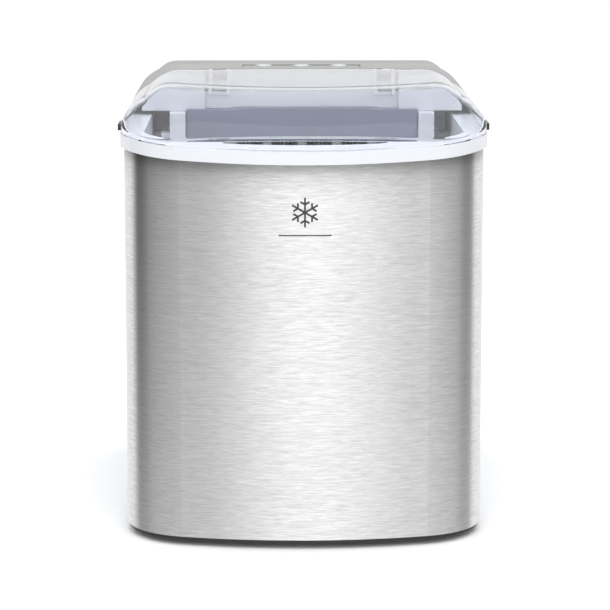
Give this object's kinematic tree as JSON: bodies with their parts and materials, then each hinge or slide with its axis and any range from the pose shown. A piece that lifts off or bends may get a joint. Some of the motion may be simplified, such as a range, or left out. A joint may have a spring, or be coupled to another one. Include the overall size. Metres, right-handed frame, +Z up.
{
  "type": "ice maker",
  "caption": "Countertop ice maker: bowed steel body, white collar, clear hinged lid, rear control deck, ice basket, tilting water tray and freezing fingers.",
  "frame": {"origin": "under the middle of the outer box, on the surface that the feet stand on", "axes": "+Z up, -Y towards the bowed front, +X to the right seen from the front"},
  "size_m": [0.2458, 0.34, 0.3003],
  "materials": {
    "brushed_steel": "horizontally brushed",
    "white_plastic": "satin moulded white",
    "clear_lid": "clear moulded, faint blue tint",
    "dark_plastic": "moulded black",
    "silver_plastic": "satin silver-grey",
    "grey_plastic": "blue-grey moulded",
    "rubber": "soft black",
    "chrome": "polished",
    "nickel": "nickel-plated",
    "copper": "drawn copper",
    "aluminium": "rolled fin stock",
    "black_metal": "black enamel",
    "steel_part": "zinc-plated",
    "foam": "closed-cell foam",
    "circuit_board": "green solder mask",
    "lamp": "frosted light guide",
    "silicone": "milky silicone tube",
    "print_grey": "printed dark grey",
    "button_face": "metallised"
  },
  "bodies": {
    "root": {"steel_wrap": "brushed_steel", "rear_panel": "dark_plastic", "base_pan": "dark_plastic", "rubber_feet": "rubber", "top_collar": "white_plastic", "rear_cover": "silver_plastic", "evaporator_hood": "white_plastic", "hinge_brackets": "white_plastic", "evaporator_cover": "grey_plastic", "inner_liner": "white_plastic", "foam_jacket": "foam", "evaporator_block": "nickel", "evaporator_fingers": "nickel", "tray_brackets": "white_plastic", "tray_motor": "white_plastic", "tray_switch": "white_plastic", "pump_housing": "dark_plastic", "pump_motor": "steel_part", "water_hose": "silicone", "level_probe": "dark_plastic", "ice_level_eyes": "dark_plastic", "drain_fitting": "dark_plastic", "drain_hose": "silicone", "compressor_plate": "steel_part", "compressor_grommets": "rubber", "compressor": "black_metal", "compressor_terminal_cover": "dark_plastic", "condenser_fins": "aluminium", "condenser_tube": "copper", "discharge_line": "copper", "filter_drier": "copper", "capillary_tube": "copper", "suction_line": "copper", "hot_gas_valve": "steel_part", "fan_frame": "dark_plastic", "control_inset": "silver_plastic", "button_bezels": "chrome", "indicator_lenses": "lamp", "control_board": "circuit_board", "power_board": "circuit_board", "mains_inlet": "dark_plastic", "rear_screws": "steel_part", "snowflake_badge": "print_grey"},
    "lid_body": {"lid": "clear_lid", "lid_hinge_pins": "steel_part", "lid_lip_tabs": "dark_plastic"},
    "basket_body": {"ice_basket": "white_plastic", "basket_pivots": "white_plastic"},
    "handle_body": {"basket_handle": "white_plastic"},
    "tray_body": {"water_tray": "white_plastic", "tray_axles": "steel_part"},
    "shovel_body": {"ice_shovel": "white_plastic"},
    "button_left_body": {"button_left": "button_face"},
    "button_middle_body": {"button_middle": "button_face"},
    "button_right_body": {"button_right": "button_face"},
    "fan_body": {"fan_rotor": "dark_plastic", "fan_shaft": "steel_part"},
    "impeller_body": {"pump_impeller": "white_plastic", "pump_shaft": "steel_part"},
    "plug_body": {"drain_plug": "rubber"}
  },
  "joints": [
    {"name": "lid_hinge", "type": "hinge", "parent": "root", "child": "lid_body", "pos_m": [0, 0.0076, 0.2976], "axis": [-1, 0, 0], "range_deg": [0, 95]},
    {"name": "basket_lift", "type": "slide", "parent": "root", "child": "basket_body", "axis": [0, 0, 1], "range_m": [0, 0.03]},
    {"name": "handle_swing", "type": "hinge", "parent": "basket_body", "child": "handle_body", "pos_m": [0, -0.078, 0.22], "axis": [-1, 0, 0], "range_deg": [0, 90]},
    {"name": "tray_tilt", "type": "hinge", "parent": "root", "child": "tray_body", "pos_m": [0, 0.021, 0.231], "axis": [-1, 0, 0], "range_deg": [0, 60]},
    {"name": "shovel_sweep", "type": "hinge", "parent": "root", "child": "shovel_body", "pos_m": [0, 0.021, 0.231], "axis": [1, 0, 0], "range_deg": [0, 45]},
    {"name": "fan_spin", "type": "hinge", "parent": "root", "child": "fan_body", "pos_m": [-0.073, 0.112, 0.084], "axis": [1, 0, 0], "continuous": true},
    {"name": "pump_spin", "type": "hinge", "parent": "root", "child": "impeller_body", "pos_m": [-0.038, 0.073, 0.032], "axis": [0, 1, 0], "continuous": true},
    {"name": "plug_pull", "type": "slide", "parent": "root", "child": "plug_body", "axis": [0, 1, 0], "range_m": [0, 0.03]},
    {"name": "button_left_press", "type": "slide", "parent": "root", "child": "button_left_body", "axis": [0, 0, -1], "range_m": [0, 0.0012], "stiffness_N_per_m": 300},
    {"name": "button_middle_press", "type": "slide", "parent": "root", "child": "button_middle_body", "axis": [0, 0, -1], "range_m": [0, 0.0012], "stiffness_N_per_m": 300},
    {"name": "button_right_press", "type": "slide", "parent": "root", "child": "button_right_body", "axis": [0, 0, -1], "range_m": [0, 0.0012], "stiffness_N_per_m": 300}
  ],
  "couplings": [
    {"joint": "shovel_sweep", "follows": "tray_tilt", "ratio": 0.75}
  ]
}
